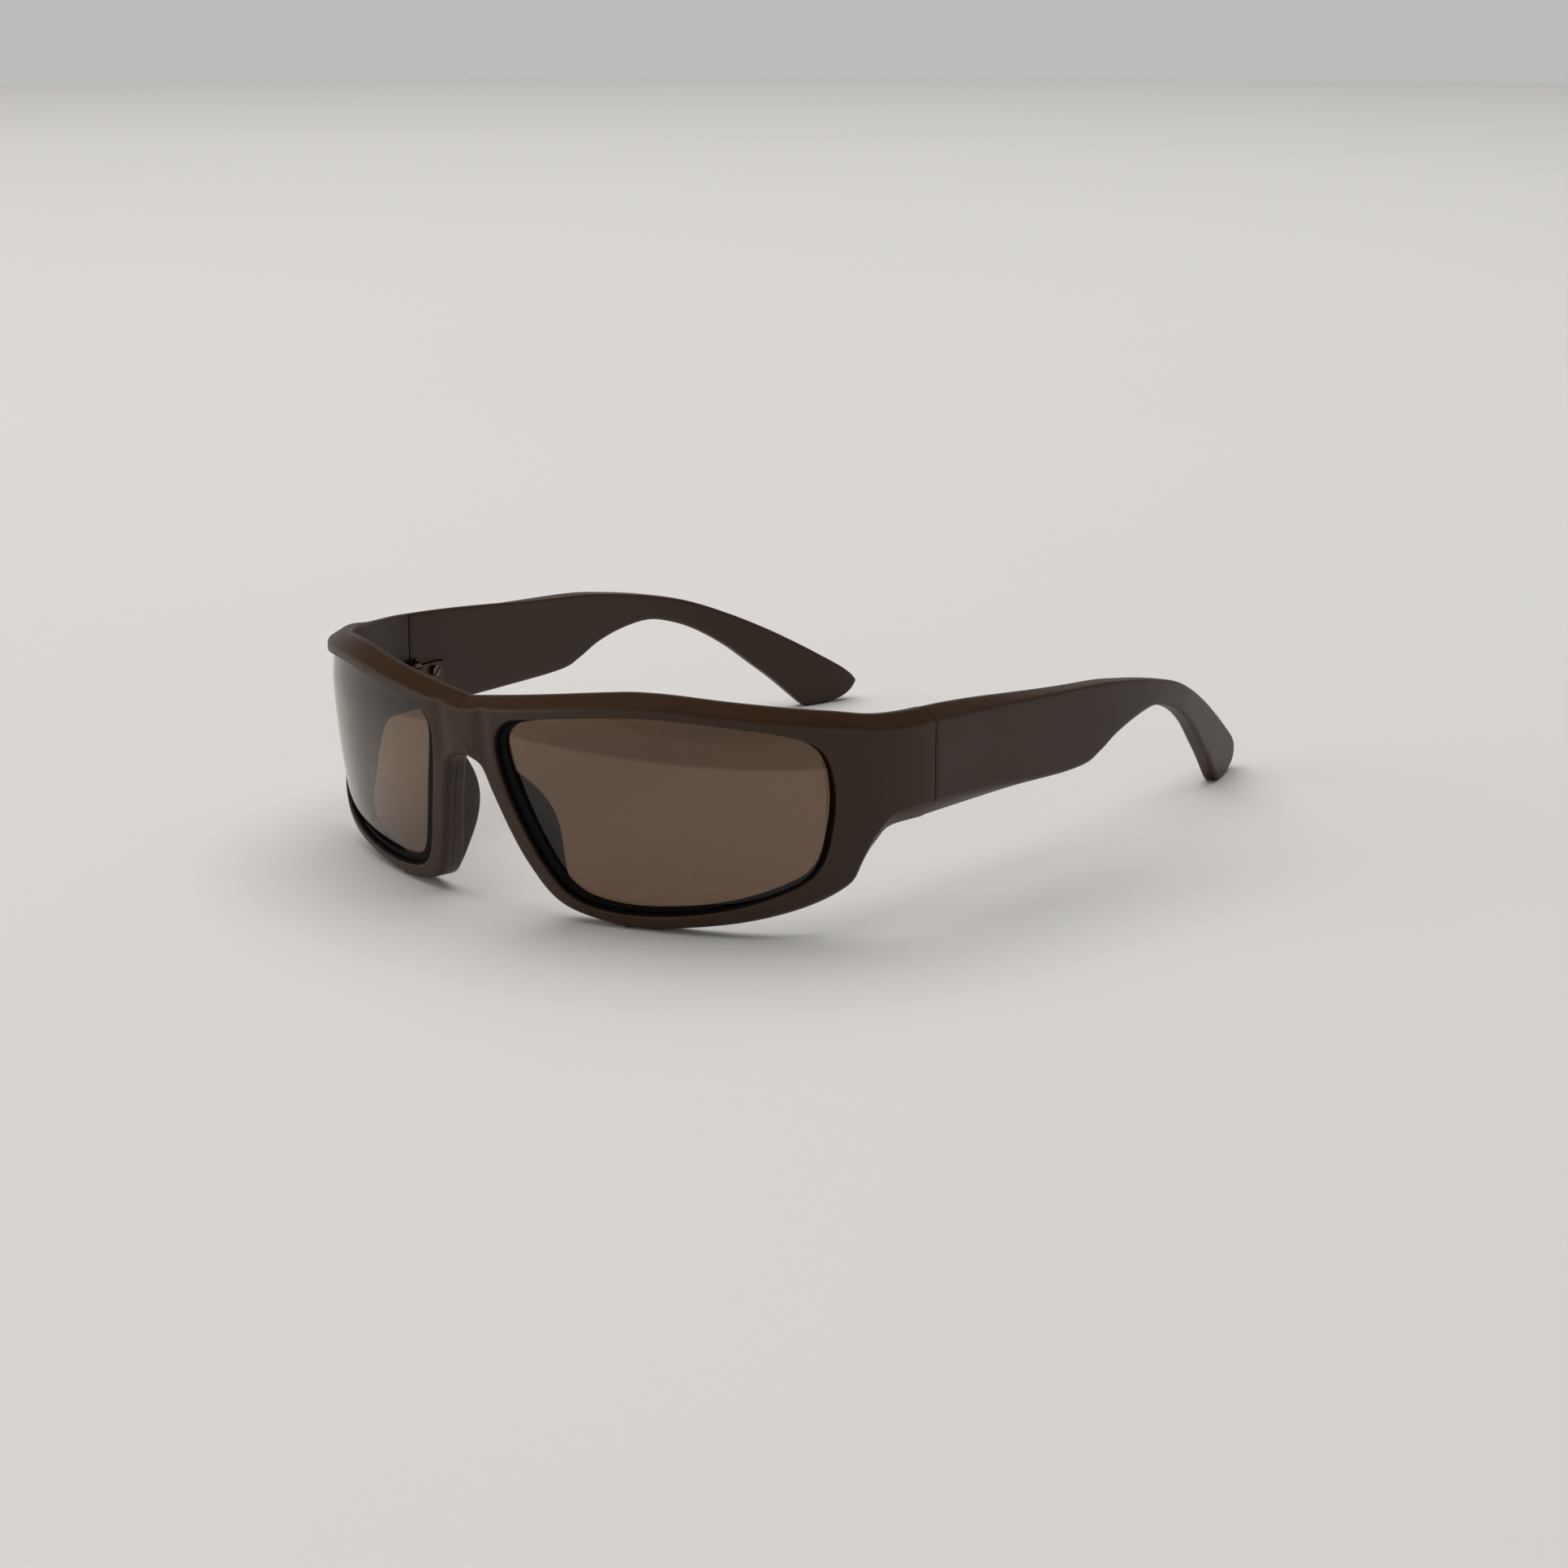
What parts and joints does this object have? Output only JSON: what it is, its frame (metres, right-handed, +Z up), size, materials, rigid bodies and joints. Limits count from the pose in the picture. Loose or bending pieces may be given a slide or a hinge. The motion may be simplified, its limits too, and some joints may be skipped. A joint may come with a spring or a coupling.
{
  "type": "wraparound mountain glasses",
  "caption": "Brown wraparound mountain glasses: moulded front with tinted lenses in rubber gaskets, nose pads, and wide curved temples that fold on barrel hinges.",
  "frame": {"origin": "on the surface that the glasses stand on, under the middle of the overall box (open temples)", "axes": "+X to the wearer's left, -Y the way the wearer looks, +Y back along the open temples, +Z up"},
  "size_m": [0.1336, 0.1778, 0.0437],
  "materials": {
    "moulded_brown": "satin moulded nylon, dark warm brown",
    "brown_lens": "polished brown tint",
    "gasket_rubber": "matte black",
    "pad_rubber": "soft matte, dark brown",
    "hinge_steel": "stamped, satin",
    "screw_steel": "bright turned",
    "core_steel": "drawn wire"
  },
  "bodies": {
    "front": {"front_frame": "moulded_brown", "lens_left": "brown_lens", "lens_right": "brown_lens", "lens_gasket_left": "gasket_rubber", "lens_gasket_right": "gasket_rubber", "nose_pad_left": "pad_rubber", "nose_pad_right": "pad_rubber", "front_hinge_leaf_left": "hinge_steel", "front_hinge_leaf_right": "hinge_steel", "hinge_screw_left": "screw_steel", "hinge_screw_right": "screw_steel", "front_leaf_screw_upper_left": "screw_steel", "front_leaf_screw_upper_right": "screw_steel", "front_leaf_screw_lower_left": "screw_steel", "front_leaf_screw_lower_right": "screw_steel"},
    "temple_left": {"temple_left": "moulded_brown", "temple_core_wire_left": "core_steel", "temple_hinge_leaf_left": "hinge_steel", "temple_leaf_screw_upper_left": "screw_steel", "temple_leaf_screw_lower_left": "screw_steel"},
    "temple_right": {"temple_right": "moulded_brown", "temple_core_wire_right": "core_steel", "temple_hinge_leaf_right": "hinge_steel", "temple_leaf_screw_upper_right": "screw_steel", "temple_leaf_screw_lower_right": "screw_steel"}
  },
  "joints": [
    {"name": "temple_left_fold", "type": "hinge", "parent": "front", "child": "temple_left", "pos_m": [0.0605, -0.0385, 0.0238], "axis": [0, 0, 1], "range_deg": [0, 90]},
    {"name": "temple_right_fold", "type": "hinge", "parent": "front", "child": "temple_right", "pos_m": [-0.0605, -0.0385, 0.0238], "axis": [0, 0, -1], "range_deg": [0, 80]}
  ]
}
